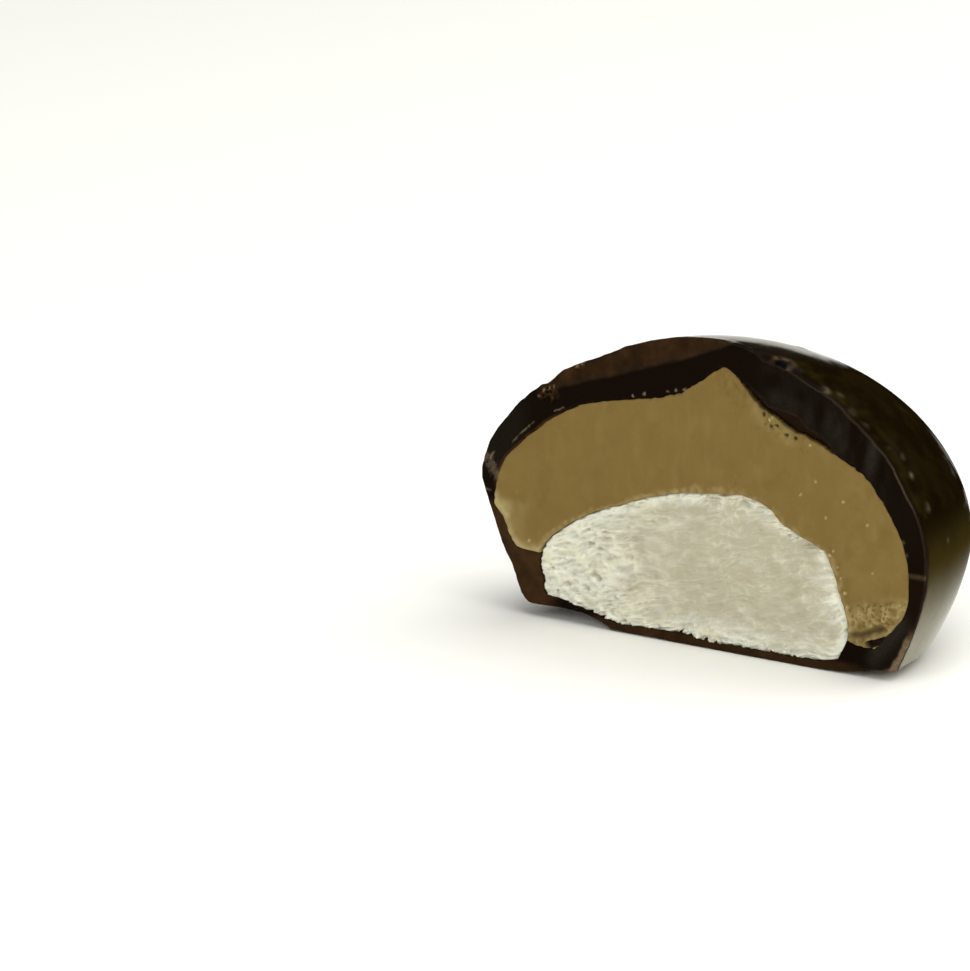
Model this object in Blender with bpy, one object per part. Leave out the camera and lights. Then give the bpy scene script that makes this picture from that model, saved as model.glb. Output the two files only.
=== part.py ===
"""One half of a coffee chocolate praline, cut through from top to base.

A dark chocolate coat holds a dome of coffee truffle, and the truffle lies over a white core.
The half rests on a low foot under its base. +Z is up, the cut face looks along -Y, and +X is the right of the cut face.

Every body is a sphere primitive that is pressed into shape. It has a left and a right outline in the
cut and one at the back, and they blend into each other round the upright axis. The bodies are then
hollowed by each other and cut by a knife block.
"""

import math
from dataclasses import dataclass

import bmesh
import bpy
from mathutils import Matrix

MM = 0.001

# Plane of the cut, and the bodies' axes, which stand just in front of it
CUT_Y = -9.0 * MM
AXIS_Y = CUT_Y - 0.3 * MM

# Gap between neighbouring pieces
FIT_GAP = 0.3 * MM

# Ring of the sphere primitive that becomes a body's lower corner
RIM_LATITUDE = math.radians(-30)


@dataclass
class Side:
    """Outline of one side of a body, measured from the body's axis and from the ground."""

    reach: float  # radius at the widest point
    widest: float  # height of the widest point
    fullness: float  # roundness of the dome above it: 2 is an ellipse, more is squarer
    rim: float  # radius of the lower corner
    rim_height: float
    tuck: float  # how late the side turns in below the widest point
    flat: float  # radius of the level part of the base
    rise: float  # how late the base rises to the corner
    peak_width: float = 1.0 * MM
    peak_edge: float = 2.0


@dataclass
class Body:
    """A body pressed from a sphere, with its own upright axis."""

    axis_x: float
    top: float  # height of the dome on the axis
    base: float  # height of the base on the axis
    left: Side
    right: Side
    back: Side
    peak: float = 0.0  # height of a tip on top of the dome
    crowding: float = 1.0  # above 1 the rings lie closer together round the tip


PRALINE = Body(
    axis_x=1.6 * MM,
    top=20.4 * MM,
    base=0.06 * MM,
    left=Side(
        reach=18.6 * MM,
        widest=9.4 * MM,
        fullness=1.62,
        rim=14.7 * MM,
        rim_height=1.0 * MM,
        tuck=1.35,
        flat=8.6 * MM,
        rise=0.55,
    ),
    right=Side(
        reach=15.4 * MM,
        widest=7.1 * MM,
        fullness=1.9,
        rim=13.3 * MM,
        rim_height=0.7 * MM,
        tuck=1.55,
        flat=7.6 * MM,
        rise=1.8,
    ),
    back=Side(
        reach=18.3 * MM,
        widest=7.7 * MM,
        fullness=1.82,
        rim=15.4 * MM,
        rim_height=0.9 * MM,
        tuck=1.65,
        flat=10.0 * MM,
        rise=1.6,
    ),
)

TRUFFLE = Body(
    axis_x=2.1 * MM,
    top=16.1 * MM,
    base=3.3 * MM,
    left=Side(
        reach=17.9 * MM,
        widest=7.8 * MM,
        fullness=2.2,
        rim=16.2 * MM,
        rim_height=4.55 * MM,
        tuck=1.6,
        flat=0.0,
        rise=1.0,
        peak_width=2.2 * MM,
        peak_edge=2.0,
    ),
    right=Side(
        reach=13.7 * MM,
        widest=6.3 * MM,
        fullness=2.04,
        rim=11.0 * MM,
        rim_height=2.2 * MM,
        tuck=2.9,
        flat=0.0,
        rise=1.0,
        peak_width=1.75 * MM,
        peak_edge=3.0,
    ),
    back=Side(
        reach=16.7 * MM,
        widest=7.0 * MM,
        fullness=1.98,
        rim=14.4 * MM,
        rim_height=3.4 * MM,
        tuck=2.2,
        flat=0.0,
        rise=1.0,
        peak_width=1.9 * MM,
        peak_edge=2.4,
    ),
    peak=2.6 * MM,
    crowding=1.35,
)

CORE = Body(
    axis_x=2.6 * MM,
    top=10.5 * MM,
    base=0.6 * MM,
    left=Side(
        reach=14.8 * MM,
        widest=3.9 * MM,
        fullness=1.62,
        rim=14.2 * MM,
        rim_height=1.7 * MM,
        tuck=1.8,
        flat=9.2 * MM,
        rise=0.55,
    ),
    right=Side(
        reach=8.9 * MM,
        widest=2.8 * MM,
        fullness=2.1,
        rim=8.2 * MM,
        rim_height=0.8 * MM,
        tuck=1.5,
        flat=6.0 * MM,
        rise=1.8,
    ),
    back=Side(
        reach=12.6 * MM,
        widest=3.4 * MM,
        fullness=1.85,
        rim=12.0 * MM,
        rim_height=1.2 * MM,
        tuck=1.65,
        flat=8.5 * MM,
        rise=1.4,
    ),
)

# Segments round the axis and rings from base to top of each primitive
PRALINE_MESH = (58, 30)
TRUFFLE_MESH = (50, 36)
CORE_MESH = (42, 24)

# Broken rim at the upper right of the cut: a flat that leans back from a chord of the outline
CHIP_START = (2.9 * MM, 20.35 * MM)
CHIP_END = (11.0 * MM, 17.35 * MM)
CHIP_LEAN = math.radians(45)

# Foot with three corners, so that the half can't rock: two at the cut and one at the back
FOOT_LEFT = (-5.7 * MM, CUT_Y)
FOOT_RIGHT = (8.9 * MM, CUT_Y)
FOOT_BACK = (1.6 * MM, 3.0 * MM)
FOOT_TOP = 0.45 * MM

# Blocks that cut reach well past the praline
BLOCK = 60 * MM

# Linear colour, roughness
DARK_CHOCOLATE = ((0.022, 0.010, 0.005), 0.30)
COFFEE_TRUFFLE = ((0.270, 0.160, 0.050), 0.60)
WHITE_CORE = ((0.680, 0.640, 0.480), 0.85)


def mix(start, end, share):
    """The value that lies the given share of the way from start to end."""
    return start + (end - start) * share


def upper_outline(body, side, latitude):
    """Radius and height of the dome above a side's widest point."""
    climb = latitude / (math.pi / 2)
    angle = (1 - (1 - climb) ** body.crowding) * math.pi / 2
    power = 2 / side.fullness
    radius = side.reach * max(math.cos(angle), 0.0) ** power
    height = side.widest + (body.top - side.widest) * math.sin(angle) ** power
    tip = body.peak / (1 + (radius / side.peak_width) ** side.peak_edge)
    return radius, height + tip * (1 - radius / side.reach)


def lower_outline(body, side, latitude):
    """Radius and height of the side that turns in, and of the base inside its corner."""
    if latitude > RIM_LATITUDE:
        drop = latitude / RIM_LATITUDE
        radius = mix(side.reach, side.rim, drop**side.tuck)
        return radius, mix(side.widest, side.rim_height, drop)
    outward = (latitude + math.pi / 2) / (RIM_LATITUDE + math.pi / 2)
    radius = side.rim * outward
    past_flat = max(radius - side.flat, 0.0) / (side.rim - side.flat)
    return radius, mix(body.base, side.rim_height, past_flat**side.rise)


def pressed(body, direction):
    """Where a point of the unit sphere lands on the body's surface."""
    latitude = math.asin(max(-1.0, min(1.0, direction.z)))
    outline = upper_outline if latitude >= 0 else lower_outline
    azimuth = math.atan2(direction.y, direction.x)
    across = body.right if direction.x > 0 else body.left
    across_radius, across_height = outline(body, across, latitude)
    back_radius, back_height = outline(body, body.back, latitude)
    to_back = math.sin(azimuth) ** 2
    radius = mix(across_radius, back_radius, to_back)
    return (
        body.axis_x + radius * math.cos(azimuth),
        AXIS_Y + radius * math.sin(azimuth),
        mix(across_height, back_height, to_back),
    )


def shrunk(body, gap):
    """The same body with its whole surface moved in by the gap."""

    def smaller(side):
        return Side(
            reach=side.reach - gap,
            widest=side.widest,
            fullness=side.fullness,
            rim=side.rim - gap,
            rim_height=side.rim_height + gap,
            tuck=side.tuck,
            flat=side.flat,
            rise=side.rise,
            peak_width=side.peak_width,
            peak_edge=side.peak_edge,
        )

    return Body(
        axis_x=body.axis_x,
        top=body.top - gap,
        base=body.base + gap,
        left=smaller(body.left),
        right=smaller(body.right),
        back=smaller(body.back),
        peak=body.peak,
        crowding=body.crowding,
    )


def clear_scene():
    for thing in list(bpy.data.objects):
        bpy.data.objects.remove(thing, do_unlink=True)


def new_collection(name):
    collection = bpy.data.collections.new(name)
    bpy.context.scene.collection.children.link(collection)
    return collection


def new_material(name, finish):
    colour, roughness = finish
    material = bpy.data.materials.new(name)
    material.use_nodes = True
    shader = material.node_tree.nodes["Principled BSDF"]
    shader.inputs["Base Color"].default_value = (*colour, 1.0)
    shader.inputs["Roughness"].default_value = roughness
    shader.inputs["Metallic"].default_value = 0.0
    return material


def press_body(name, body, segments, rings, collection):
    """A closed body: a sphere primitive whose points are moved onto the body's surface."""
    shape = bmesh.new()
    bmesh.ops.create_uvsphere(shape, u_segments=segments, v_segments=rings, radius=1.0)
    half_step = Matrix.Rotation(math.pi / segments, 4, "Z")
    bmesh.ops.transform(shape, matrix=half_step, verts=shape.verts)
    for point in shape.verts:
        point.co = pressed(body, point.co.normalized())
    mesh = bpy.data.meshes.new(name)
    shape.to_mesh(mesh)
    shape.free()
    mesh.shade_smooth()
    mesh.set_sharp_from_angle(angle=math.radians(35))
    piece = bpy.data.objects.new(name, mesh)
    collection.objects.link(piece)
    return piece


def cutting_block(name, collection):
    """A cube primitive whose upper face is centred on its origin."""
    shape = bmesh.new()
    bmesh.ops.create_cube(shape, size=BLOCK)
    bmesh.ops.translate(shape, vec=(0, 0, -BLOCK / 2), verts=shape.verts)
    mesh = bpy.data.meshes.new(name)
    shape.to_mesh(mesh)
    shape.free()
    block = bpy.data.objects.new(name, mesh)
    collection.objects.link(block)
    return block


def make_foot(collection):
    """A low prism whose front corners reach past the cut, so that the knife trims them."""
    corners = [FOOT_BACK]
    for x, y in (FOOT_LEFT, FOOT_RIGHT):
        corners.append((mix(FOOT_BACK[0], x, 1.05), mix(FOOT_BACK[1], y, 1.05)))
    shape = bmesh.new()
    under = shape.faces.new([shape.verts.new((x, y, 0.0)) for x, y in corners])
    made = bmesh.ops.extrude_face_region(shape, geom=[under], use_keep_orig=True)["geom"]
    raised = [part for part in made if isinstance(part, bmesh.types.BMVert)]
    bmesh.ops.translate(shape, vec=(0, 0, FOOT_TOP), verts=raised)
    bmesh.ops.recalc_face_normals(shape, faces=shape.faces)
    mesh = bpy.data.meshes.new("foot")
    shape.to_mesh(mesh)
    shape.free()
    foot = bpy.data.objects.new("foot", mesh)
    collection.objects.link(foot)
    return foot


def as_cutter(thing):
    thing.hide_render = True
    thing.display_type = "WIRE"
    return thing


def combine(piece, other, operation):
    boolean = piece.modifiers.new(operation.lower() + "_" + other.name, "BOOLEAN")
    boolean.operation = operation
    boolean.solver = "EXACT"
    boolean.object = other


def cut(piece, cutter):
    combine(piece, cutter, "DIFFERENCE")


def make_knife(collection):
    """Everything in front of the plane of the cut."""
    knife = as_cutter(cutting_block("knife", collection))
    knife.rotation_euler = (math.radians(-90), 0, 0)
    knife.location = (0, CUT_Y, PRALINE.top / 2)
    return knife


def make_chip(collection):
    """A slanting block that takes the rim off between two points of the cut's outline."""
    run = CHIP_END[0] - CHIP_START[0]
    fall = CHIP_START[1] - CHIP_END[1]
    chip = as_cutter(cutting_block("chipped_rim", collection))
    upside_down = Matrix.Rotation(math.pi, 4, "X")
    leaned = Matrix.Rotation(CHIP_LEAN, 4, "X")
    sloped = Matrix.Rotation(math.atan2(fall, run), 4, "Y")
    middle = (
        (CHIP_START[0] + CHIP_END[0]) / 2,
        CUT_Y,
        (CHIP_START[1] + CHIP_END[1]) / 2,
    )
    chip.matrix_world = Matrix.Translation(middle) @ sloped @ leaned @ upside_down
    return chip


def make_cutters(collection):
    """The hollows of the coat and of the truffle, the foot, the chip in the rim and the knife."""
    return {
        "truffle": as_cutter(
            press_body("truffle_hollow", TRUFFLE, *TRUFFLE_MESH, collection)
        ),
        "core": as_cutter(press_body("core_hollow", CORE, *CORE_MESH, collection)),
        "foot": as_cutter(make_foot(collection)),
        "chip": make_chip(collection),
        "knife": make_knife(collection),
    }


def make_coat(cutters, collection):
    coat = press_body("chocolate_coat", PRALINE, *PRALINE_MESH, collection)
    combine(coat, cutters["foot"], "UNION")
    for cutter in ("truffle", "core", "chip", "knife"):
        cut(coat, cutters[cutter])
    coat.data.materials.append(new_material("dark_chocolate", DARK_CHOCOLATE))


def make_truffle(cutters, collection):
    body = shrunk(TRUFFLE, FIT_GAP)
    truffle = press_body("coffee_truffle", body, *TRUFFLE_MESH, collection)
    cut(truffle, cutters["core"])
    cut(truffle, cutters["knife"])
    truffle.data.materials.append(new_material("coffee_truffle", COFFEE_TRUFFLE))


def make_core(cutters, collection):
    body = shrunk(CORE, FIT_GAP)
    core = press_body("white_core", body, *CORE_MESH, collection)
    cut(core, cutters["knife"])
    core.data.materials.append(new_material("white_core", WHITE_CORE))


def main():
    clear_scene()
    praline = new_collection("coffee_chocolate_praline")
    cutters = make_cutters(new_collection("cutters"))
    make_coat(cutters, praline)
    make_truffle(cutters, praline)
    make_core(cutters, praline)


main()
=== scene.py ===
"""Half of a coffee chocolate praline: coat, truffle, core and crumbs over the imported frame.

The three layers share one centre. Rays from it find every layer's surface, so the layers meet along the
same lines in the cut. Points are worked out in millimetres and become metres when a mesh is made.
"""

import functools
import itertools
import math
from dataclasses import dataclass

import bmesh
import bpy
import numpy as np
from mathutils import Matrix, Vector
from mathutils.bvhtree import BVHTree


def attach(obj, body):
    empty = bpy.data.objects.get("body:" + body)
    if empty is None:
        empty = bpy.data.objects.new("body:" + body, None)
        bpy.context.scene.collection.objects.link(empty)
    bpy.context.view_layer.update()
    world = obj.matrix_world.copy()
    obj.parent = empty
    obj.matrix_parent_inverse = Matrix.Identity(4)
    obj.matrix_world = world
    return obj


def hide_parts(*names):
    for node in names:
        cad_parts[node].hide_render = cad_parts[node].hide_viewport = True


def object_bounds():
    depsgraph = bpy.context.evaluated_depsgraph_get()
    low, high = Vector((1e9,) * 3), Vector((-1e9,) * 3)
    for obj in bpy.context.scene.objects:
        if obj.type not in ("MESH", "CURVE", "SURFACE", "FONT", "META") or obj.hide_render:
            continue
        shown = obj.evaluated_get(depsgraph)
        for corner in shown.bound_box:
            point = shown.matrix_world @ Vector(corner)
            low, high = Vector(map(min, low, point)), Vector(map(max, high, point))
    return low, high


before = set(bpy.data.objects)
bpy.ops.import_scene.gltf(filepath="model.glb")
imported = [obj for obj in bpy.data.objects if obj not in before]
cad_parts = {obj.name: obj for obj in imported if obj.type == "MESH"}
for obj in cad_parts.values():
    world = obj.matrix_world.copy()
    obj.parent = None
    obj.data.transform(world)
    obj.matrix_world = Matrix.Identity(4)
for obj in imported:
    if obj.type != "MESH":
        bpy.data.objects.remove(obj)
CAD_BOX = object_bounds()

bl_info = {
    "name": "Coffee Chocolate Praline",
    "version": (1, 0, 0),
    "blender": (4, 5, 0),
    "location": "3D View > Sidebar > Praline",
    "description": "Makes half of a coffee chocolate praline and a plain stage for it",
    "category": "Add Mesh",
}

MM = 0.001

# Plane of the cut, and the upright axes just in front of it
CUT_Y = -9
AXIS_Y = CUT_Y - 0.3

# Rays that find the layers start here
CENTRE = np.array([2.5, CUT_Y, 6.5])

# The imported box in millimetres, less a margin that every piece keeps
MARGIN = 0.01
LOW, HIGH = (np.array(corner) / MM for corner in CAD_BOX)
LOW += MARGIN
HIGH -= MARGIN

# Depths behind the plane of the cut: the least of any face, and where hidden surfaces start
LEAST_DEPTH = 0.02
HIDDEN_DEPTH = 1.9

# Cells along each side of the fine grids and of the hidden, coarse ones
FINE = 260
COARSE = 26

# Cells along each side of the tables of noise, after which the noise comes round again
NOISE_SIZE = 48

# Latitude of a layer's lower corner
RIM_LATITUDE = math.radians(-30)


@dataclass(frozen=True)
class Side:
    """Outline of one side of a layer, measured from its axis and from the ground."""

    reach: float
    widest: float
    fullness: float
    rim: float
    rim_height: float
    tuck: float
    flat: float
    rise: float
    peak_width: float = 1.0
    peak_edge: float = 2.0


@dataclass(frozen=True)
class Layer:
    """A layer's form: a left and a right outline in the cut and one at the back."""

    axis_x: float
    top: float
    base: float
    left: Side
    right: Side
    back: Side
    peak: float = 0.0
    crowding: float = 1.0


PRALINE = Layer(
    axis_x=1.6,
    top=20.4,
    base=0,
    left=Side(18.6, 9.4, 1.62, 14.7, 1, 1.35, 8.6, 0.55),
    right=Side(15.4, 7.1, 1.9, 13.3, 0.7, 1.55, 7.6, 1.8),
    back=Side(18.3, 7.7, 1.82, 15.4, 0.9, 1.65, 10, 1.6),
)

TRUFFLE = Layer(
    axis_x=2.1,
    top=16.1,
    base=3.3,
    left=Side(17.9, 7.8, 2.2, 16.2, 4.55, 1.6, 0, 1, 2.2, 2),
    right=Side(13.7, 6.3, 2.04, 11, 2.2, 2.9, 0, 1, 1.75, 3),
    back=Side(16.7, 7, 1.98, 14.4, 3.4, 2.2, 0, 1, 1.9, 2.4),
    peak=2.6,
    crowding=1.35,
)

CORE = Layer(
    axis_x=2.6,
    top=10.5,
    base=0.42,
    left=Side(14.8, 3.9, 1.62, 14.2, 1.7, 1.8, 9.2, 0.55),
    right=Side(8.9, 2.8, 2.1, 8.2, 0.8, 1.5, 6, 1.8),
    back=Side(12.6, 3.4, 1.85, 12, 1.2, 1.65, 8.5, 1.4),
)


# Shaping helpers


def mix(start, end, share):
    return start + (end - start) * share


def ease(low, high, value):
    """0 below low, 1 above high and smooth between them. Low may be the greater."""
    share = np.clip((value - low) / (high - low), 0, 1)
    return share * share * (3 - 2 * share)


def spot(x, z, centre_x, centre_z, radius_x, radius_z=None):
    """A round or oval spot on the cut that is 1 in its middle and fades out."""
    radius_z = radius_z or radius_x
    far = ((x - centre_x) / radius_x) ** 2 + ((z - centre_z) / radius_z) ** 2
    return np.exp(-far)


def distance(points, place):
    return np.linalg.norm(points - np.array(place), axis=-1)


def flaked(where, flakes, low, high, least=0.3):
    """Makes a soft mark flaky, but only where the mark is."""
    return ease(low, high, where + flakes) * ease(0.05, least, where)


@functools.lru_cache(maxsize=None)
def noise_table(seed):
    return np.random.default_rng(seed).uniform(-1, 1, 3 * (NOISE_SIZE,))


def noise(points, cell, seed):
    """Smooth noise from -1 to 1 that changes over about one cell, which may differ by axis."""
    table = noise_table(seed)
    place = np.asarray(points) / np.asarray(cell) + 11.37
    corner = np.floor(place).astype(int)
    share = place - corner
    share = share * share * (3 - 2 * share)
    total = np.zeros(len(place))
    for step in itertools.product((0, 1), repeat=3):
        weight = np.prod(np.where(step, share, 1 - share), axis=1)
        index = (corner + np.array(step)) % NOISE_SIZE
        total += weight * table[index[:, 0], index[:, 1], index[:, 2]]
    return total


def layered(points, cell, seed, strength, shape):
    """Noise with finer and fainter noise on it, each passed through a function."""
    total = np.zeros(len(points))
    cell = np.asarray(cell, dtype=float)
    for number in range(3):
        total += strength * shape(noise(points, cell, seed + number))
        strength *= 0.5
        cell = cell * 0.47
    return total


def rough(points, cell, seed):
    return layered(points, cell, seed, 1, lambda value: value)


def ridged(points, cell, seed):
    """Noise with sharp crests, from 0 to about 1."""
    return layered(points, cell, seed, 0.55, lambda value: (1 - np.abs(value)) ** 2)


# Forms of the layers


def outline(layer, side, latitude):
    """Radius and height of a side, for latitudes from the base to the top."""
    turn = np.clip(latitude, 0, math.pi / 2) / (math.pi / 2)
    angle = (1 - (1 - turn) ** layer.crowding) * math.pi / 2
    power = 2 / side.fullness
    radius = side.reach * np.clip(np.cos(angle), 0, 1) ** power
    height = side.widest + (layer.top - side.widest) * np.sin(angle) ** power
    tip = layer.peak / (1 + (radius / side.peak_width) ** side.peak_edge)
    height = height + tip * (1 - radius / side.reach)

    drop = np.clip(latitude / RIM_LATITUDE, 0, 1)
    below = latitude < 0
    radius = np.where(below, mix(side.reach, side.rim, drop**side.tuck), radius)
    height = np.where(below, mix(side.widest, side.rim_height, drop), height)

    outward = (latitude + math.pi / 2) / (RIM_LATITUDE + math.pi / 2)
    base_radius = side.rim * outward
    past = np.clip((base_radius - side.flat) / (side.rim - side.flat), 0, 1)
    under = latitude < RIM_LATITUDE
    radius = np.where(under, base_radius, radius)
    height = np.where(under, mix(layer.base, side.rim_height, past**side.rise), height)
    return radius, height


@functools.lru_cache(maxsize=None)
def surface_tree(layer, steps=220, rings=160):
    """The layer's surface as a tree that rays can hit."""
    azimuth = np.arange(steps) * 2 * math.pi / steps
    latitude = np.linspace(-math.pi / 2, math.pi / 2, rings + 1)
    azimuth, latitude = np.meshgrid(azimuth, latitude, indexing="ij")
    sides = (layer.left, layer.right, layer.back)
    left, right, back = (np.array(outline(layer, side, latitude)) for side in sides)
    radius, height = mix(np.where(np.cos(azimuth) > 0, right, left), back, np.sin(azimuth) ** 2)
    x = layer.axis_x + radius * np.cos(azimuth)
    y = AXIS_Y + radius * np.sin(azimuth)
    points = np.stack([x, y, height], axis=-1).reshape(-1, 3)
    index = np.arange(len(points)).reshape(steps, rings + 1)
    turned = np.roll(index, -1, axis=0)
    quads = np.stack([index[:, :-1], turned[:, :-1], turned[:, 1:], index[:, 1:]], axis=-1)
    return BVHTree.FromPolygons(points.tolist(), quads.reshape(-1, 4).tolist())


def reach_of(layer, ways):
    """How far the layer's surface lies from the centre in each direction."""
    tree = surface_tree(layer)
    start = Vector(CENTRE)
    found = [tree.ray_cast(start, Vector(way))[3] for way in ways]
    reach = np.array([np.nan if far is None else far for far in found])
    missed = np.isnan(reach)
    if missed.mean() > 0.01:
        raise RuntimeError("rays from the centre miss a layer's surface")
    order = np.arange(len(reach))
    reach[missed] = np.interp(order[missed], order[~missed], reach[~missed])
    return reach


def half_ball(cells):
    """Directions behind the cut on a square grid whose edge lies in the plane of the cut."""
    line = np.linspace(-1, 1, cells + 1)
    a, b = np.meshgrid(line, line, indexing="ij")
    wide = np.abs(a) > np.abs(b)
    reach = np.where(wide, a, b)
    divisor = np.where(reach == 0, 1, reach)
    turn = np.where(wide, b / divisor, 2 - a / divisor) * math.pi / 4
    x = reach * np.cos(turn)
    z = reach * np.sin(turn)
    square = x * x + z * z
    stretch = np.sqrt(np.maximum(2 - square, 0))
    ways = np.stack([x * stretch, np.maximum(1 - square, 0), z * stretch], axis=-1)
    return ways, np.stack([x, z], axis=-1)


def edge_cells(cells):
    """Grid places along the edge, from the lower right corner round over the top."""
    run = np.arange(cells)
    full = np.full(cells, cells)
    none = np.zeros(cells, dtype=int)
    rows = np.concatenate([full, cells - run, none, run])
    columns = np.concatenate([run, full, cells - run, none])
    return rows, columns


def from_ring(flat, values):
    """Each grid place's angle round the centre, and the value that the edge has at that angle."""
    angle = np.arctan2(flat[..., 1], flat[..., 0])
    return angle, np.interp(angle, angle[edge_cells(FINE)], values, period=2 * math.pi)


# Broken rim at the upper right of the cut: a rough flat between two points of the outline
CHIP_START = (2.9, 20.35)
CHIP_END = (11, 17.35)
CHIP_LEAN = math.radians(45)

# How far the lines of the cut swing in or out, by their angle round the centre in degrees
OUTSIDE_SWINGS = (
    (-178, 0.05), (-174, 0.2), (-170, 0.12), (-166, 0.22), (-163, 0.34), (-160, 0.22), (-158.5, -0.1),
    (-157, -0.45), (-154, -0.6), (-151, -0.4), (-148, -0.28), (-145, -0.2), (-140, -0.12), (-133, -0.08),
    (-111, 0), (-48, 0), (-38, -0.12), (-32, -0.26), (-28, -0.36), (-26, -0.2), (-24.5, 0), (-10, 0.08),
    (14, 0.06), (20, 0), (24, -0.13), (33, -0.12), (38, -0.2), (43, -0.33), (49, -0.38), (54, -0.3),
    (59, -0.24), (63, -0.12), (68, -0.18), (79, -0.24), (86, -0.24), (93, -0.18), (99, -0.1), (106, 0),
    (118, 0.14), (130, 0.14), (136, 0.22), (142, 0.36), (148, 0.26), (154, 0.14), (160, 0.02), (170, 0),
)
TRUFFLE_SWINGS = (
    (-180, -0.22), (-176, -0.05), (-90, 0), (-27, 0), (-25.5, 0.8), (-24, 0.95), (-22, 0.5), (-20, 0.22),
    (-18, 0), (-13, -0.1), (-8, 0.04), (10, 0.06), (18, -0.02), (22, 0.05), (27, 0.16), (31, 0.38),
    (35, 0.25), (40, 0.1), (47, 0), (54, -0.06), (60, -0.16), (67, -0.1), (72, 0.14), (76, 0.2), (82, 0.08),
    (86, -0.1), (90, 0), (95, 0.08), (103, 0.14), (113, -0.06), (127, -0.14), (135, 0.02), (145, 0.12),
    (149, -0.04), (154, -0.15), (158, -0.38), (163, -0.36), (167, -0.1), (176, 0.08), (178, 0.14),
)
CORE_SWINGS = (
    (-180, 0.12), (-177, 0.3), (-174, 0.36), (-171, 0.2), (-165, 0.16), (-160, 0.36), (-157, 0.24),
    (-154, 0.34), (-149, 0.22), (-147, -0.12), (-138, -0.18), (-130, -0.25), (-120, -0.2), (-107, 0.06),
    (-92, 0), (-24, -0.08), (-18, -0.16), (-12, -0.38), (-4, -0.36), (3, -0.18), (10, -0.02), (15, -0.4),
    (21, -0.85), (26, -0.82), (35, -0.8), (41, -0.58), (47, -0.32), (64, -0.05), (84, 0.02), (100, -0.14),
    (117, -0.12), (134, 0), (157, -0.06), (166, -0.16), (171, 0), (176, 0.12),
)

# Small bumps on the outside: place, radius, height and how pale they are, partly their own pale colour and
# partly painted glints
PIMPLES = (
    ((9.4, -8.5, 18.2), 0.26, 0.05, 0.45),
    ((10, -7.7, 17.9), 0.24, 0.04, 0.15),
    ((11.2, -8.1, 17.1), 0.3, 0.05, 0.2),
    ((12.2, -8, 16.3), 0.26, 0.05, 0.14),
    ((13.6, -7.4, 14.8), 0.4, 0.04, 0.08),
    ((14.2, -7, 14.3), 0.22, 0.03, 0.16),
    ((15, -7.2, 13.2), 0.22, 0.04, 0.3),
    ((16, -7.1, 11.2), 0.26, 0.03, 0.2),
    ((16.5, -5.4, 8.8), 0.14, 0.02, 0.2),
    ((11.1, -2.1, 15.9), 0.4, 0.03, 0.04),
    ((4, -3, 19.2), 0.45, 0.06, 0.02),
    ((-8, -1.5, 15.2), 0.5, 0.07, 0.02),
    ((-3.5, 4, 13), 0.4, 0.06, 0.02),
    ((9, 3.8, 11.2), 0.45, 0.07, 0.02),
    ((-13.5, -3, 9.4), 0.36, 0.06, 0.02),
)


def swing(ways, swings):
    """How far a line swings in each direction."""
    angle = np.degrees(np.arctan2(ways[:, 2], ways[:, 0]))
    angles, shifts = zip(*swings)
    return np.interp(angle, angles, shifts, period=360)


# Pit with crumbs in the outside, just behind the broken rim
CRUMB_PIT = (6, -8.45, 19.15)


def chip_reach(ways, points):
    """Distance to the flat of the broken rim along each direction."""
    run = CHIP_END[0] - CHIP_START[0]
    fall = CHIP_START[1] - CHIP_END[1]
    slope = math.atan2(fall, run)
    normal = Matrix.Rotation(slope, 3, "Y") @ Matrix.Rotation(CHIP_LEAN, 3, "X") @ Vector((0, 0, 1))
    normal = np.array(normal)
    middle = np.array([(CHIP_START[0] + CHIP_END[0]) / 2, CUT_Y, (CHIP_START[1] + CHIP_END[1]) / 2])
    toward = ways @ normal
    away = np.dot(middle - CENTRE, normal)
    far = np.where(toward > 0.05, away / np.maximum(toward, 0.05), 1e3)
    return far + 0.16 * rough(points, 1.1, 61)


def outside_reach(ways):
    """Reach of the coat's outside with its waves, bumps and pits, and where its rim is broken."""
    reach = reach_of(PRALINE, ways)
    points = CENTRE + ways * reach[:, None]
    x, y, z = points.T
    waves = 0.07 * noise(points, 6.5, 51) + 0.02 * noise(points, 2.1, 52)
    reach = reach + waves * ease(0, 2, z)
    for place, radius, height, _ in PIMPLES:
        reach += height * np.exp(-((distance(points, place) / radius) ** 2))
    ragged = distance(points, CRUMB_PIT) + 0.22 * noise(points, 0.4, 53)
    reach -= ease(0.62, 0.25, ragged)
    reach += ease(6, 0, y - CUT_Y) * swing(ways, OUTSIDE_SWINGS)
    in_cut = ease(1.2, 0, y - CUT_Y)
    reach += in_cut * (0.02 + 0.05 * noise(points, 0.9, 54) + 0.03 * noise(points, 0.35, 55))
    chips = spot(x, z, -11.6, 15.6, 0.9) + 0.7 * spot(x, z, -16.6, 10.3, 0.7)
    chips = chips + 0.5 * spot(x, z, -8.6, 18.2, 0.5)
    reach -= in_cut * chips * (0.22 + 0.25 * noise(points, 0.5, 56))

    # The outside bends softly into the flat of the broken rim
    soft = 0.12
    gap = np.clip((reach - chip_reach(ways, points)) / soft, -40, 40)
    broken = np.maximum(ease(-3.5, 1, gap), ease(0.9, 0.6, ragged))
    reach = reach - soft * np.logaddexp(0, gap)
    sure = np.where(np.abs(ways) < 1e-6, 1e-6, ways)
    room = np.where(sure > 0, HIGH - CENTRE, LOW - CENTRE) / sure
    return np.minimum(reach, room.min(axis=1)), broken


# Chocolate teeth that poke up into the core from the base: place and height
BASE_TEETH = (
    (-8.2, 0.38), (-7.3, 0.25), (-1.5, 0.3), (-0.7, 0.15), (0.6, 0.32), (1.4, 0.22), (5.7, 0.15),
    (7.5, 0.2),
)


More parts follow.
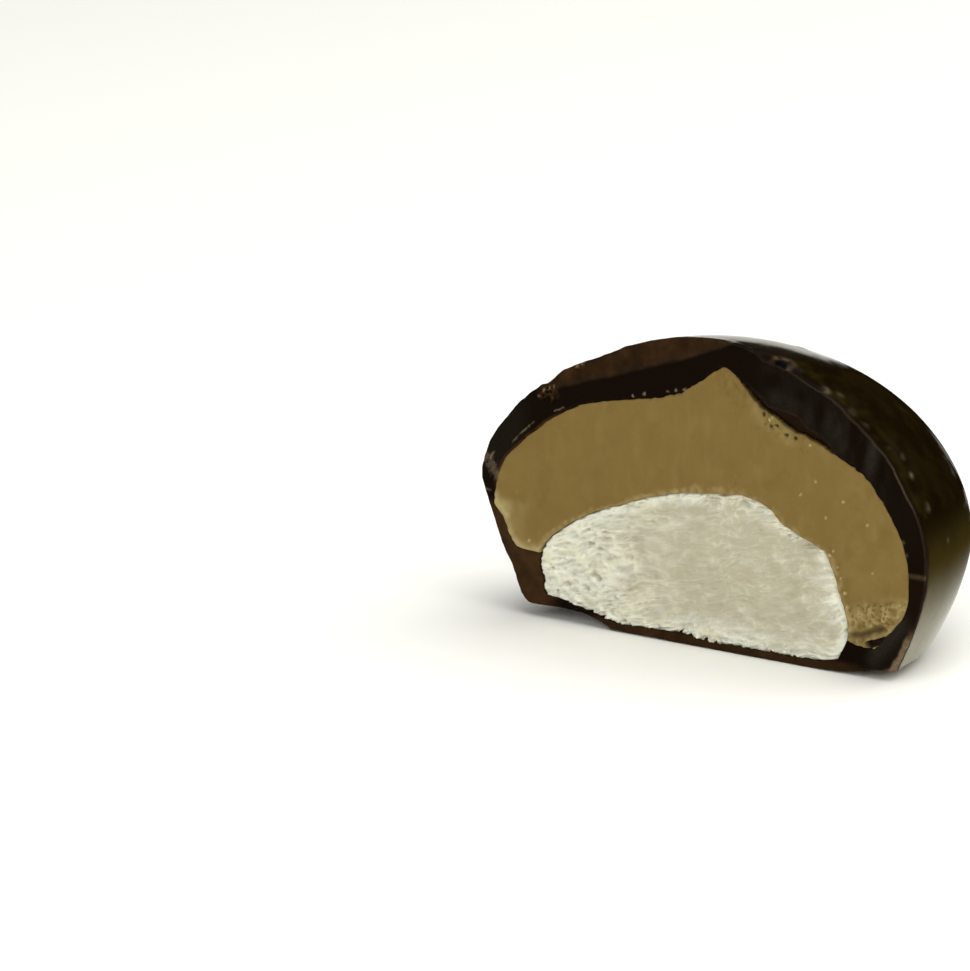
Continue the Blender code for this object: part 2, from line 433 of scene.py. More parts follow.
def core_reach(ways):
    reach = reach_of(CORE, ways)
    points = CENTRE + ways * reach[:, None]
    x, z = points.T[::2]
    reach += swing(ways, CORE_SWINGS)
    reach += 0.05 * noise(points, 1.3, 71) + 0.05 * noise(points, 0.5, 72)
    reach += 0.035 * noise(points, 0.22, 73)
    low = ease(2.4, 1.2, z)
    for place, height in BASE_TEETH:
        reach -= low * height * np.exp(-(((x - place) / 0.1) ** 2))
    return reach


def truffle_reach(ways):
    reach = reach_of(TRUFFLE, ways)
    points = CENTRE + ways * reach[:, None]
    x, z = points.T[::2]
    reach += swing(ways, TRUFFLE_SWINGS) + 0.02 * noise(points, 1.6, 81) + 0.035 * noise(points, 0.55, 82)
    right_of_tip = ease(3.3, 4.6, x) * ease(11, 12.5, z)
    torn_top = ease(-7, -6, x) * ease(0.6, 0, x) * ease(13, 14, z)
    crumbly = right_of_tip + 0.7 * torn_top + 0.8 * spot(x, z, 2.9, 18, 1.2)
    crumbly += ease(11, 13, x) * ease(4.8, 3.4, z) + 0.8 * ease(-12, -13.5, x) * ease(8, 7.4, z)
    reach += (0.02 + 0.07 * crumbly) * noise(points, 0.3, 83) - 0.15 * right_of_tip
    return reach


@functools.lru_cache(maxsize=None)
def dome():
    """Directions of the fine grid, the reach of the coat's outside in each and where it is broken."""
    ways, flat = half_ball(FINE)
    reach, broken = outside_reach(ways.reshape(-1, 3))
    return ways, flat, reach.reshape(flat.shape[:2]), broken.reshape(flat.shape[:2])


@functools.lru_cache(maxsize=None)
def section():
    """The lines of the cut: directions round the centre, and how far each layer reaches in them."""
    ways, _, reach, _ = dome()
    edge = edge_cells(FINE)
    return ways[edge], reach[edge], truffle_reach(ways[edge]), core_reach(ways[edge])


# Meshes


def new_object(name, data):
    made = bpy.data.objects.new(name, data)
    bpy.context.scene.collection.objects.link(made)
    return made


def fill_mesh(mesh, shape):
    shape.to_mesh(mesh)
    shape.free()


def behind(points, depth):
    """The same points, moved behind the plane of the cut by a depth."""
    moved = np.array(points)
    moved[..., 1] = CUT_Y + depth
    return moved


class Surface:
    """Points and faces of a mesh as it grows, with a few values painted on each point."""

    def __init__(self, *paints):
        self.points = []
        self.faces = []
        self.looks = []
        self.look = 0
        self.count = 0
        self.paints = {name: [] for name in paints}

    def add(self, points, **values):
        """Adds points in millimetres, in any grid, and returns their numbers in the same grid."""
        shape = points.shape[:-1]
        self.points.append(points.reshape(-1, 3))
        for name, kept in self.paints.items():
            kept.append(np.broadcast_to(values.get(name, 0), shape).reshape(-1))
        numbers = self.count + np.arange(len(self.points[-1])).reshape(shape)
        self.count += numbers.size
        return numbers

    def keep(self, faces, looks=None):
        self.faces.extend(faces)
        self.looks.extend([self.look] * len(faces) if looks is None else looks)

    def skin(self, numbers, closed=False, flip=False, looks=None):
        """Quads between the rows of a grid of points. A closed grid joins its last column to its first."""
        if closed:
            numbers = np.concatenate([numbers, numbers[:, :1]], axis=1)
        corners = [numbers[:-1, :-1], numbers[1:, :-1], numbers[1:, 1:], numbers[:-1, 1:]]
        if flip:
            corners.reverse()
        self.keep(np.stack(corners, axis=-1).reshape(-1, 4).tolist(), looks)

    def join_rings(self, fine, coarse):
        """Joins a ring of points to one with a whole number of times fewer."""
        each = len(fine) // len(coarse)
        fine = np.append(fine, fine[0]).tolist()
        coarse = np.append(coarse, coarse[0]).tolist()
        for place, (corner, after) in enumerate(zip(coarse, coarse[1:])):
            run = fine[place * each : (place + 1) * each + 1]
            self.keep([(near, far, corner) for near, far in zip(run, run[1:])])
            self.keep([(run[-1], after, corner)])

    def close_behind(self, ring, numbers, depths, layers, gap=0, **values):
        """Runs a wall back from a ring of points and closes it with a coarse, hidden surface."""
        wall = self.add(np.stack([behind(ring, depth) for depth in depths]), **values)
        self.skin(np.concatenate([numbers[None, :], wall]), closed=True)
        ways = half_ball(COARSE)[0]
        flat_ways = ways.reshape(-1, 3)
        reach = np.max([reach_of(layer, flat_ways) for layer in layers], axis=0) - gap
        points = (CENTRE + flat_ways * reach[:, None]).reshape(ways.shape)
        points[..., 1] = np.maximum(points[..., 1], CUT_Y + HIDDEN_DEPTH)
        hidden = self.add(points)
        self.skin(hidden)
        self.join_rings(wall[-1], hidden[edge_cells(COARSE)])

    def make(self, name, added=None):
        """Makes the piece, with another body added to it, and turns all faces outward."""
        mesh = bpy.data.meshes.new(name)
        mesh.from_pydata((np.concatenate(self.points) * MM).tolist(), [], self.faces)
        for paint, kept in self.paints.items():
            values = np.clip(np.concatenate(kept), 0, 1)
            layer = mesh.attributes.new(paint, "FLOAT", "POINT")
            layer.data.foreach_set("value", values.astype(np.float32))
        mesh.polygons.foreach_set("material_index", self.looks)
        mesh.validate()
        mesh.shade_smooth()
        shape = bmesh.new() if added is None else added
        shape.from_mesh(mesh)
        bmesh.ops.recalc_face_normals(shape, faces=shape.faces)
        fill_mesh(mesh, shape)
        return new_object(name, mesh)


def crowded(steps):
    """Shares from 0 to 1 that lie closer together at both ends."""
    return (1 - np.cos(np.linspace(0, math.pi, steps + 1))) / 2


def rounded_edge(from_edge, radius):
    """Depth of a rounded edge at a distance from it."""
    short = np.clip(radius - from_edge, 0, radius)
    return radius - np.sqrt(np.maximum(radius**2 - short**2, 0))


# Places on the cut


class Places:
    """A grid of places on the cut, with patterns over them."""

    def __init__(self, x, z):
        self.x = x
        self.z = z
        self.points = np.stack([x, np.zeros(x.shape), z], axis=-1).reshape(-1, 3)

    def pattern(self, kind, cell, seed, points=None):
        points = self.points if points is None else points
        return kind(points, cell, seed).reshape(self.x.shape)

    noise = functools.partialmethod(pattern, noise)
    rough = functools.partialmethod(pattern, rough)
    ridged = functools.partialmethod(pattern, ridged)

    def patchy(self, middle, strength, cell, seed):
        """Noise round a middle value, kept from 0 to 1."""
        return np.clip(middle + strength * self.noise(cell, seed), 0, 1)

    def spots(self, places, radius):
        """Round spots, each 1 in its middle."""
        return np.max([spot(self.x, self.z, x, z, radius) for x, z in places], axis=0)

    def over_line(self, path):
        """Height over a line that runs from left to right."""
        return self.z - np.interp(self.x, *zip(*path))

    def along(self, path, width):
        """1 on a line of straight runs, fading out within a width of it."""
        nearest = np.full(self.x.shape, np.inf)
        for (start_x, start_z), (end_x, end_z) in zip(path, path[1:]):
            run_x = end_x - start_x
            run_z = end_z - start_z
            share = ((self.x - start_x) * run_x + (self.z - start_z) * run_z) / (run_x**2 + run_z**2)
            share = np.clip(share, 0, 1)
            far = np.hypot(self.x - start_x - share * run_x, self.z - start_z - share * run_z)
            nearest = np.minimum(nearest, far)
        return np.exp(-((nearest / width) ** 2))


# Coat

# Rows of the cut face, how far it runs in under the filling, and the wall of the hollow behind it
COAT_ROWS = 44
UNDERLAP = 0.015
COAT_WALL = (0.7, 1.3)

# How far behind the cut the rounded rim still moves the outside
RIM_FADE = 1.6

# Crease between the ragged band at the rim and the flat cut in the upper left
CREASE = (
    (-12.4, 14.7), (-10.5, 15.6), (-8, 16.4), (-6.3, 16.9), (-4.6, 17.5), (-2.8, 18.1), (-1.2, 18.6),
    (0.2, 19.1), (1.5, 19.6), (3.2, 20.4),
)

# Upper edge of the lower ledge to the right of the truffle's tip
LEDGE = (
    (3.3, 18.1), (4, 17.5), (4.8, 17), (5.2, 16.5), (6.3, 16.4), (7.4, 16.2), (8, 15.6), (9, 15.2),
    (9.5, 14.9), (10.3, 14.1), (10.9, 13.5),
)

# Patches that the knife left in the upper right: place, width, height and shine, below 0 where dull. The
# shine sets how far they sink or rise and how strong a painted sheen they get
KNIFE_PATCHES = (
    ((5.9, 17.2), 0.75, 0.55, 0.65),
    ((7.1, 16.9), 0.55, 0.75, 0.55),
    ((8.3, 16.3), 0.35, 0.7, 0.45),
    ((9.8, 16.3), 0.32, 0.8, 0.6),
    ((10.4, 15.6), 0.45, 0.75, 0.75),
    ((10.9, 14.8), 0.35, 0.6, 0.65),
    ((13, 14.6), 0.34, 1, 1.15),
    ((12.9, 13.7), 0.34, 0.8, 0.7),
    ((5.5, 18.3), 0.6, 0.5, -0.5),
    ((7.7, 17.6), 0.5, 0.45, -0.45),
    ((9.2, 16.9), 0.3, 0.8, -0.45),
    ((11.7, 15.6), 0.38, 0.9, -0.8),
    ((12.2, 14.4), 0.28, 0.9, -0.8),
    ((13.7, 13.5), 0.3, 0.9, -0.6),
)

FROSTED = ((-16.5, 10.3), (-16.1, 9.8), (-15.7, 9.2))
SCRATCHES = (
    ((-16.55, 8.1), (-16.15, 8.05)),
    ((-11.1, 14.1), (-10.4, 14.4)),
    ((-14.4, 11.6), (-13.9, 12.15), (-13.5, 12.5), (-12.7, 13.2)),
    ((-16.2, 10.3), (-15.9, 10.7)),
)
# Painted highlights: glints on the cut near the chips and along the truffle
GLINTS = (
    (-12.4, 14.9), (-12.1, 15.3), (-11.7, 15.5), (-11.2, 15.7), (-11.4, 14.9), (-9.6, 17.2), (-9.2, 17.4),
    (-2.3, 16.55), (-1.75, 16.7), (-1.1, 16.8), (-5, 15.85), (-4.1, 16.1),
)


def coat_face(x, z, from_rim, from_filling):
    """Depth of the coat's cut face, how warm it is, its painted sheen, and how frosted it is, with painted
    glints and a painted rim highlight among the frost.
    """
    on = Places(x, z)
    depth = 0.14 + 0.035 * on.noise(2.2, 11) + 0.012 * on.rough(0.35, 12)

    # Over the crease the upper left leans back towards the rim and is ragged
    over = on.over_line(CREASE) + 0.06 * on.noise(0.6, 13)
    upper_left = ease(3.4, 2.2, x) * ease(-12.6, -11.4, x) * ease(13.5, 14.5, z)
    band = upper_left * ease(0, 0.25, over)
    depth += upper_left * 0.3 * ease(0, 1.6, over)
    depth += band * (0.035 * on.rough(0.5, 14) + 0.02)

    # The knife left shining and dull patches in the upper right, which sink or rise a little and get a
    # painted sheen
    upper_right = ease(4, 5.4, x) * ease(7, 10, z)
    turned = on.points.copy()
    turned[:, 0] += 0.2 * on.points[:, 2] + 0.1 * noise(on.points, 2, 18)
    streaks = on.rough((0.26, 1, 3.5), 15, turned)
    patches = np.zeros(x.shape)
    for (patch_x, patch_z), width, height, shine in KNIFE_PATCHES:
        lean = patch_x + 0.2 * (z - patch_z) + 0.12 * on.noise(0.8, 19)
        patches += shine * spot(x, z, lean, patch_z, width, height)
    depth -= upper_right * (0.012 * streaks + 0.05 * patches)

    # A lower ledge follows the truffle to the right of its tip
    below = 0.07 * on.noise(0.5, 21) - on.over_line(LEDGE)
    ledge = ease(3.2, 3.7, x) * ease(10.9, 10.2, x) * ease(12.5, 13.5, z) * ease(-0.07, 0.1, below)
    ledge_lip = ease(3.4, 4, x) * ease(11, 10, x) * on.along(LEDGE, 0.11)
    depth += ledge * (0.34 + 0.05 * on.rough(0.4, 22)) - 0.03 * ledge_lip

    # Chips, scratches, frosted scuffs and painted glints
    chips = spot(x, z, -11.8, 15.2, 0.85, 0.6) + 0.8 * spot(x, z, -9.4, 17.3, 0.5, 0.3)
    broken = flaked(chips, 0.35 * on.noise(0.45, 23), 0.25, 0.6)
    depth += broken * (0.14 + 0.12 * on.rough(0.3, 24))
    flaky = on.rough(0.16, 29)
    scratches = np.max([on.along(path, 0.08) for path in SCRATCHES], axis=0)
    scratches = flaked(scratches, 0.55 * flaky, 0.35, 1.1)
    frosted = flaked(on.along(FROSTED, 0.5), 0.5 * flaky, 0.3, 1, 0.4)
    glints = flaked(on.spots(GLINTS, 0.15), 0.5 * flaky, 0.45, 1.05)
    depth -= 0.04 * scratches + 0.04 * glints

    # Pits along the truffle
    lip = ease(0.32, 0, from_filling) * ease(10, 12, z)
    holes = on.spots(((-4.6, 15.9), (-2, 16.45), (-1.3, 16.65), (-0.6, 16.9), (-5.6, 15.75)), 0.22)
    pits = lip * np.maximum(ease(0.1, 0.5, on.noise(0.45, 25)), holes)
    gap = ease(0.16, 0.05, from_filling) * ease(2.9, 3.4, x) * ease(10, 6, x) * ease(13, 14, z)
    depth += 0.2 * pits + 0.5 * gap

    # A hairline crack runs across the right wall
    crack = ease(14.3, 14.9, x) * ease(0.26, 0.03, np.abs(z - 7.12 - 0.05 * on.noise(0.8, 26)))
    depth += 0.06 * crack
    depth += rounded_edge(from_rim, 0.16) + 0.6 * rounded_edge(from_filling, 0.12)

    # Where the paints lie
    # A thin painted highlight runs along the rim of the cut
    rim = ease(0.1, 0.03, from_rim)
    low_right = ease(12.5, 15, x) * ease(7.1, 6.9, z)
    tan_rim = ease(0.46, 0.22, from_rim + 0.1 * on.noise(0.5, 27)) * ease(14, 14.8, x) * ease(4.2, 2.8, z)
    base = ease(1, 0.5, z) * ease(14, 10, x)
    low_left = ease(-10.5, -12, x) * ease(7.8, 6.8, z)
    grey = on.along(((15.3, 3.9), (14.5, 2.8), (13.7, 1.9), (13.2, 1.3)), 0.62)

    warmth = band * (0.62 + 0.3 * on.rough(0.9, 28)) * ease(0, 0.35, over)
    warmth += 0.22 * ledge + broken * on.patchy(0.55, 0.6, 0.3, 35)
    warmth += 0.06 * low_right * (1 - grey) + 0.65 * base + 0.85 * low_left
    warmth += 0.4 * pits + tan_rim + 0.15 * rim * ease(3, 6, x) + 0.45 * crack
    warmth += 0.9 * ease(0.28, 0.05, from_filling) * ease(-9, -12, x) * ease(8, 9.5, z)
    # Painted sheen on the knife's streaks and patches, on the band over the crease, at the left end and
    # along a grey line low on the right
    satin = upper_right * np.clip(0.24 + 0.12 * streaks + 0.7 * patches, 0, 1.2) * (1 - 0.85 * ledge)
    satin *= mix(1, 0.35, ease(13.4, 14.6, x))
    satin += 0.3 * band * ease(0.9, 0.2, over) + 0.35 * ease(-12.6, -14.5, x) * ease(9, 10, z)
    satin += 1.1 * grey * np.clip(1 - tan_rim, 0, 1) * ease(12.2, 13.8, x)
    ticks = on.spots(((15.39, 9.21), (15.62, 8.42)), 0.12)
    # Scratches and scuffs are frost; glints are painted highlights
    frost = 0.24 * scratches + 0.17 * frosted + 0.38 * glints + 0.05 * crack + 0.14 * ticks
    frost += tan_rim * np.clip(0.3 + 0.12 * flaky, 0, 1) * ease(3.8, 2.4, z) + 0.035 * ledge_lip
    # Painted highlight along the rim, brighter at one place on the right
    frost += rim * ease(6.5, 8.5, x) * ease(6, 7.5, z) * (0.02 + 0.07 * spot(x, z, 15, 12.6, 1.6, 1.8))
    return depth, warmth, satin, frost


def outside_look(points, back_of_cut, broken):
    """Values painted on the outside, and which of its faces are torn chocolate."""
    x, y, z = np.moveaxis(points, -1, 0)
    spread = points.reshape(-1, 3)
    clouds = (noise(spread, 1.3, 57) + 0.6 * noise(spread, 0.5, 58)).reshape(x.shape)
    lumps = noise(spread, 0.32, 59).reshape(x.shape)
    pit = distance(points, CRUMB_PIT)

    # Low on the right side the outside is painted pale olive and beige, a painted reflection of the floor;
    # above that it is rubbed dull
    toward_cut = ease(6.5, 0.5, y + 2 * clouds)
    low_side = ease(5, 11, x) * toward_cut
    rubbed = ease(4.5, 7.5, x + 0.8 * clouds) * ease(1.5, 8, z) * toward_cut
    near_rim = ease(3.5, 0, back_of_cut) * ease(3, 6, x)
    olive = (0.045 + 0.12 * near_rim) * np.clip(0.4 + clouds, 0, 1)
    painted_floor_reflection = 0.5 * ease(11, 6.5, z) + 0.45 * ease(8, 3.5, z)
    olive = np.maximum(olive, low_side * painted_floor_reflection * (1 + 0.12 * clouds))
    olive *= ease(0.05, 0.6, back_of_cut) * (1 - 0.6 * broken)
    # The bumps' paleness is partly painted glints
    bumps = np.zeros(x.shape)
    for place, radius, _, pale in PIMPLES:
        bumps = np.maximum(bumps, pale * np.exp(-((distance(points, place) / radius) ** 2)))
    ring = np.exp(-(((pit - 0.6) / 0.24) ** 2)) * np.clip(0.45 + lumps, 0, 1)
    values = {
        "warmth": olive + 0.8 * ring,
        # The painted sheen here is the floor's painted reflection, palest near the foot
        "satin": low_side * (0.15 * ease(8, 3, z) + 0.25 * ease(4, 0.8, z)),
        "frost": np.maximum(bumps * np.clip(0.7 + 0.9 * lumps, 0.15, 1), 0.12 * ring),
        # The middle of the crumb pit is painted black as shade
        "hole_shade": ease(0.6, 0.38, pit),
        "gloss": (1 - rubbed) * ease(0.03, 0, broken),
    }
    torn = ((broken > 0.03) & (x < 7.5)) | (back_of_cut < 0.2)
    return values, (torn[:-1, :-1] | torn[1:, 1:]).astype(int).reshape(-1).tolist()


def make_coat(settings):
    ways, flat, reach, broken = dome()
    round_cut, rim, truffle, core = section()
    shape = Surface("warmth", "satin", "frost", "hole_shade", "gloss")

    # Cut face from the rim in to the filling
    across = crowded(COAT_ROWS)[:, None]
    inner = np.maximum(truffle, core) - UNDERLAP
    between = CENTRE + round_cut * mix(rim, inner, across)[..., None]
    x, _, z = np.moveaxis(between, -1, 0)
    wall = rim - inner
    depth, warmth, satin, frost = coat_face(x, z, wall * across, wall * (1 - across))
    depth = np.maximum(depth, LEAST_DEPTH)
    face = behind(between, depth)

    # Outside, whose points near the cut give way to the rounded rim
    points = CENTRE + ways * reach[..., None]
    back_of_cut = points[..., 1] - CUT_Y
    points[..., 1] += from_ring(flat, depth[0])[1] * np.exp(-back_of_cut / RIM_FADE)
    points = np.clip(points, LOW, HIGH)
    values, looks = outside_look(points, back_of_cut, broken)
    outside = shape.add(points, **values)
    shape.skin(outside, looks=looks)

    shape.look = 1
    rows = shape.add(face[1:], warmth=warmth[1:], satin=satin[1:], frost=frost[1:])
    shape.skin(np.concatenate([outside[edge_cells(FINE)][None, :], rows]), closed=True)
    shape.close_behind(face[-1], rows[-1], COAT_WALL, (TRUFFLE, CORE), warmth=0.4)
    piece = shape.make("Chocolate_coat")
    piece.data.materials.append(glossy_chocolate(settings))
    piece.data.materials.append(cut_chocolate(settings))
    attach(piece, "root")
    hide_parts("chocolate_coat")


# Truffle

# Rows of the cut face, how thick the slab behind it is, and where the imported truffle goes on
TRUFFLE_ROWS = 96
SLAB = 1.1
REAR_DEPTH = 0.8

# Raised, smeared edge in the lower left
SMEAR = (
    (-15.9, 7.8), (-15.7, 7.1), (-15.1, 6.5), (-14.9, 5.8), (-14.5, 5.1), (-13.9, 4.6), (-13.3, 4.5),
    (-12.2, 4.6),
)

# Hollow, painted dark as shade, and a dark band in the crumbled lower right
HOLLOW = ((12.9, 2.2), (13.5, 2.4), (14.1, 2.6))
DARK_BAND = ((11.8, 2.6), (12.6, 2.85), (13.3, 3.1), (13.9, 3.35))

# Pale specks of crumbs; the two at (5.6, 15.9) and (8.5, 14.5) are painted glints
PALE_SPECKS = (
    (7.8, 11.2), (10.95, 11.2), (12.75, 9.95), (9.7, 10), (13.2, 6.9), (8.9, 12.2), (5.6, 15.9),
    (8.5, 14.5), (5.4, 15.7), (11.4, 4.4), (12.3, 4.05), (12.9, 3.8), (13.1, 3.45), (15.2, 5.1),
    (14.2, 4.2), (10, 7.6), (10.6, 6.9), (10.9, 6.2), (11.2, 5.3), (10.3, 7.9), (-13.1, 5.1),
)
DARK_PITS = ((5.5, 15.3), (5.9, 15.4), (6.7, 14.9), (7.3, 14.8), (4.9, 16))


def truffle_face(x, z, from_coat, from_core):
    """Depth of the truffle's cut face, how pale it is, and how dark it is in tone and in painted shade."""
    on = Places(x, z)
    mottle = on.rough(0.9, 32)
    fine = on.noise(0.2, 33)
    depth = 0.13 + 0.035 * on.noise((3.2, 1, 2), 31) + 0.016 * mottle + 0.007 * fine
    tip = spot(x, z, 2.9, 17.5, 1.3, 1.3)
    depth += tip * (0.1 * on.rough(0.3, 34) + 0.05)

    # The lower left is a raised and smeared rim
    low_left = ease(-12.2, -14.6, x) * ease(7.9, 7.4, z)
    smear = on.along(SMEAR, 0.36) * on.patchy(0.85, 0.6, 0.35, 30)
    creamy = spot(x, z, -15.2, 7.1, 0.75, 0.5) * on.patchy(0.8, 0.6, 0.4, 48)
    depth -= 0.09 * smear + 0.03 * creamy
    depth += 0.04 * low_left * on.rough((0.8, 1, 0.4), 35)

    # The lower right crumbles round a hollow
    low_right = ease(10.9, 11.8, x) * ease(5, 4.1, z - 0.25 * (x - 12) + 0.3 * on.noise(0.8, 42))
    crumble = on.ridged(0.6, 36)
    hollow = ease(0.35, 0.65, on.along(HOLLOW, 0.26) + 0.2 * on.noise(0.3, 51))
    band = on.along(DARK_BAND, 0.28) * on.patchy(0.9, 0.5, 0.5, 43)
    depth += low_right * (0.22 * (1 - crumble) - 0.04 + 0.09 * on.rough(0.25, 37))
    depth += 0.6 * hollow + 0.12 * band

    # Pits and tears follow the coat, and are painted dark as shade
    ragged = ease(3.4, 4.4, x) * ease(12.3, 13.6, z) * ease(9, 7.5, x)
    near_coat = ease(0.75, 0.05, from_coat + 0.3 * on.noise(0.5, 38))
    tears = near_coat * (0.25 * ease(0, 0.6, on.noise(0.6, 39)) + 0.35 * ragged)
    pits = ease(0.3, 0.9, on.spots(DARK_PITS, 0.15) + 0.4 * on.noise(0.22, 49))
    pits *= ease(0.05, 0.3, on.spots(DARK_PITS, 0.2))
    specks = ease(0.3, 0.9, on.spots(PALE_SPECKS, 0.13) + 0.35 * on.noise(0.18, 50))
    depth += 0.15 * tears + 0.22 * pits - 0.06 * specks
    depth += 0.5 * rounded_edge(from_coat, 0.12) + 0.35 * rounded_edge(from_core, 0.12)

    # Crumbs of the truffle lie along the core
    along_core = ease(0.6, 0.1, from_core + 0.26 * on.rough(0.5, 44))
    depth -= 0.05 * along_core * on.noise(0.3, 45)
    pale = (0.6 - 0.2 * ease(-1, 3, x)) * along_core * np.clip(0.6 + 0.9 * on.noise(0.3, 54), 0.1, 1)
    pale += 0.07 * np.clip(on.rough((0.5, 1, 1.4), 52), 0, 1)
    pale += 0.95 * smear + 0.65 * creamy + low_right * np.clip(1.1 * crumble - 0.3, 0, 0.75)
    pale += 0.24 * low_left * on.patchy(0.6, 0.8, 0.5, 53)
    pale += 0.85 * specks + 0.5 * spot(x, z, 12.25, 1.85, 0.38, 0.3)
    pale += 0.3 * ragged * ease(1.4, 0.4, from_coat) * on.patchy(0.5, 1, 0.5, 46)
    pale += 0.08 * ease(9.5, 12, x) * np.clip(0.5 + mottle, 0, 1)
    pale += 0.35 * along_core * ease(8.6, 9.6, x) * on.patchy(0.4, 1, 0.3, 47)
    pale *= 1 - 0.6 * band
    # Tears, pits and the hollow are painted shade; the band, the tip and the mottle are darker in tone, and
    # thin dark lines run along the core and the coat
    dark = 0.22 * tears + 0.75 * pits + 0.7 * band + 1.3 * hollow
    dark += 0.28 * tip * np.clip(0.3 + on.rough(0.3, 41), 0, 1) + 0.07 * ease(0.2, 1, -mottle)
    dark += 0.35 * ease(0.09, 0.02, from_core) * ease(9, 10, x) + 0.15 * ease(0.12, 0.02, from_coat)
    return depth, pale, dark


def truffle_rear():
    """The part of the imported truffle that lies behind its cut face, closed at the front."""
    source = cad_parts["coffee_truffle"]
    shape = bmesh.new()
    shape.from_mesh(source.data)
    shape.transform(source.matrix_world)
    bmesh.ops.remove_doubles(shape, verts=shape.verts, dist=1e-6)
    bmesh.ops.bisect_plane(
        shape,
        geom=shape.verts[:] + shape.edges[:] + shape.faces[:],
        plane_co=(0, (CUT_Y + REAR_DEPTH) * MM, 0),
        plane_no=(0, -1, 0),
        clear_outer=True,
    )
    bmesh.ops.edgeloop_fill(shape, edges=[edge for edge in shape.edges if edge.is_boundary])
    for face in shape.faces:
        face.smooth = True
    return shape


def make_truffle(settings):
    ways, _, truffle, core = section()
    shape = Surface("pale", "dark")
    height = CENTRE[2] + ways[:, 2] * core
    shown = np.nonzero((truffle - core > 0.05) & (height > 1.2))[0]

    # A run that passes the start of the ring is turned first
    for gap in np.nonzero(np.diff(shown) > 1)[0][-1:]:
        shown = np.roll(shown, -gap - 1)
    inner = core[shown]
    wall = truffle[shown] - inner
    across = crowded(TRUFFLE_ROWS)[:, None]
    between = CENTRE + ways[shown] * (inner + wall * across)[..., None]
    x, _, z = np.moveaxis(between, -1, 0)
    depth, pale, dark = truffle_face(x, z, wall * (1 - across), wall * across)
    face = behind(between, np.maximum(depth, LEAST_DEPTH))
    front = shape.add(face, pale=pale, dark=dark)
    back = shape.add(behind(face, SLAB))
    shape.skin(front)
    shape.skin(back, flip=True)
    both = np.stack([front, back])
    for side in (both[:, 0], both[:, :, -1], both[:, -1, ::-1], both[:, ::-1, 0]):
        shape.skin(side)
    piece = shape.make("Coffee_truffle", truffle_rear())
    piece.data.materials.append(truffle_material(settings))
    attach(piece, "root")
    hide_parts("coffee_truffle")


# Core

# The core's wall behind its face, the room that its hidden back leaves, and how far its face laps over
CORE_WALL = (0.9, 1.4)
CORE_ROOM = 0.3
CORE_LAP = 0.01


def core_face(x, z, from_edge):
    """Depth of the core's torn, fibrous face, how cool it is, the painted shade in its hollows and the
    painted highlight on its crests.
    """
    on = Places(x, z)

    # Shreds lie along a slant and are bent by slow waves
    slant = math.radians(-14)
    turned = on.points.copy()
    turned[:, 0] = on.points[:, 0] * math.cos(slant) - on.points[:, 2] * math.sin(slant)
    turned[:, 2] = on.points[:, 0] * math.sin(slant) + on.points[:, 2] * math.cos(slant)
    turned[:, 2] += 0.4 * noise(on.points, 1.8, 91) + 0.06 * noise(on.points, 0.5, 106)
    turned[:, 0] += 0.35 * noise(on.points, 1.1, 92)
    shreds = on.ridged((1.25, 1, 0.4), 93, turned)
    flecks = on.ridged((0.6, 1, 0.17), 98, turned)
    lumps = on.noise((2.2, 1, 1.3), 103)
    crumbs = on.ridged((0.55, 1, 0.38), 107, turned)

    # Crumbs and small holes show most at the left and along the edge
    near_edge = ease(1.1, 0.2, from_edge)
    torn = np.clip(ease(-4.5, -8, x) + 0.6 * near_edge, 0, 1)
    calm = 1 - 0.66 * ease(-6, -1.5, x) * ease(0.3, 1.3, from_edge)
    depth = 0.16 + calm * (0.27 * (0.8 - shreds) + 0.16 * (0.8 - flecks)) + 0.06 * lumps
    depth += torn * 0.36 * (0.8 - crumbs)
    holes = ease(0.5, 0.8, on.noise((0.5, 1, 0.26), 104, turned))
    gaps = torn * ease(0.45, 0.75, on.noise((0.4, 1, 0.3), 108))
    depth += 0.05 * holes + 0.14 * gaps + 0.8 * rounded_edge(from_edge, 0.26)

    cool = 0.75 * ease(1.9, 0.2, from_edge + 0.7 * lumps) + 0.95 * ease(-3.5, -8.5, x)
    cool += 0.34 * on.noise((1.5, 1, 0.8), 105)
    cool = cool + 0.34 * on.noise((0.7, 1, 0.4), 109) + 0.35 * ease(3, 1.2, z)
    # Painted shade in holes, gaps and between the shreds, and a darker beige in the middle
    hollow = 0.3 * holes + 0.75 * gaps + 0.3 * ease(0.6, 0.3, shreds) + 0.28 * ease(0.55, 0.3, flecks)
    hollow = hollow * calm + 0.22 * torn * ease(0.6, 0.25, crumbs)
    hollow += (0.26 + 0.1 * ease(4, 8, x)) * ease(-6, 0, x) * ease(0.2, 1, from_edge)
    hollow -= 0.3 * ease(0.62, 0.85, shreds) + 0.25 * ease(0.62, 0.85, flecks)
    # The crests get a painted highlight over a creamy tone that varies
    creamy = np.clip(0.25 + on.rough((1.6, 1, 1.1), 112), 0, 1)
    crest = 0.5 * (ease(0.62, 0.9, shreds) + ease(0.62, 0.9, flecks)) * (0.3 + creamy) + 0.35 * creamy
    crest = crest * calm + 0.8 * torn * ease(0.58, 0.85, crumbs) * on.patchy(0.7, 1, 1.4, 111)
    return depth, cool, hollow, crest


def make_core(settings):
    shape = Surface("cool", "hollow", "crest")
    flat = dome()[1]
    share = np.linalg.norm(flat, axis=-1)
    angle, reach = from_ring(flat, section()[3])
    reach = reach + CORE_LAP
    x = CENTRE[0] + np.cos(angle) * share * reach
    z = CENTRE[2] + np.sin(angle) * share * reach
    depth, cool, hollow, crest = core_face(x, z, (1 - share) * reach)
    face = np.stack([x, CUT_Y + np.maximum(depth, LEAST_DEPTH), z], axis=-1)
    front = shape.add(face, cool=cool, hollow=hollow, crest=crest)
    shape.skin(front)
    edge = edge_cells(FINE)
    shape.close_behind(face[edge], front[edge], CORE_WALL, (CORE,), CORE_ROOM, cool=1)
    piece = shape.make("White_core")
    piece.data.materials.append(core_material(settings))
    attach(piece, "root")
    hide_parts("white_core")


# Crumbs


